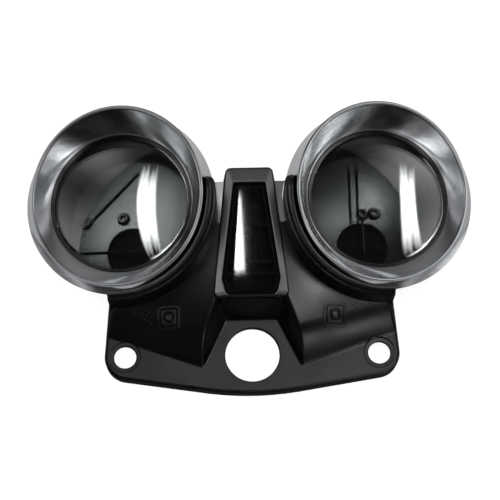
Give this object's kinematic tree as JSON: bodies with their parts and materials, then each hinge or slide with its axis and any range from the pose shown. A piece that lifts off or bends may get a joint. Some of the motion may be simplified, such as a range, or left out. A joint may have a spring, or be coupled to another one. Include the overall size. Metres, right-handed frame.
{
  "type": "motorcycle instrument cluster case",
  "caption": "Empty twin-dial motorcycle instrument case: black cover with mounting plate and key-switch hole, chromed bezels, clear lenses, smoked centre window and rear cups.",
  "frame": {"origin": "centre of the key-switch hole on the upper face of the mounting plate", "axes": "+Z out of the plate towards the rider, +X to the rider's right, +Y forward"},
  "size_m": [0.2694, 0.1682, 0.0751],
  "materials": {
    "cover_black": "satin moulded ABS with a fine grain",
    "chrome_trim": "bright chrome plate on moulded plastic",
    "clear_lens": "clear polished acrylic",
    "ring_black": "black moulded ring, semi-gloss",
    "rubber_seal": "matt black rubber",
    "cup_black": "black moulded plastic, satin inside",
    "zinc_screw": "zinc-plated steel",
    "smoked_window": "smoked acrylic",
    "lamp_grey": "dark grey moulded plastic"
  },
  "bodies": {
    "root": {"front_cover": "cover_black", "left_bezel": "chrome_trim", "right_bezel": "chrome_trim", "left_lens": "clear_lens", "right_lens": "clear_lens", "left_retainer_ring": "ring_black", "right_retainer_ring": "ring_black", "left_lens_seal": "rubber_seal", "right_lens_seal": "rubber_seal", "left_cup_gasket": "rubber_seal", "right_cup_gasket": "rubber_seal", "left_rear_cup": "cup_black", "right_rear_cup": "cup_black", "left_cup_screws": "zinc_screw", "right_cup_screws": "zinc_screw", "left_cover_screws": "zinc_screw", "right_cover_screws": "zinc_screw", "centre_window": "smoked_window", "window_gasket": "rubber_seal", "lamp_housing": "lamp_grey", "rear_cover": "cup_black", "rear_cover_screws": "zinc_screw", "lamp_housing_screws": "zinc_screw"}
  },
  "joints": []
}
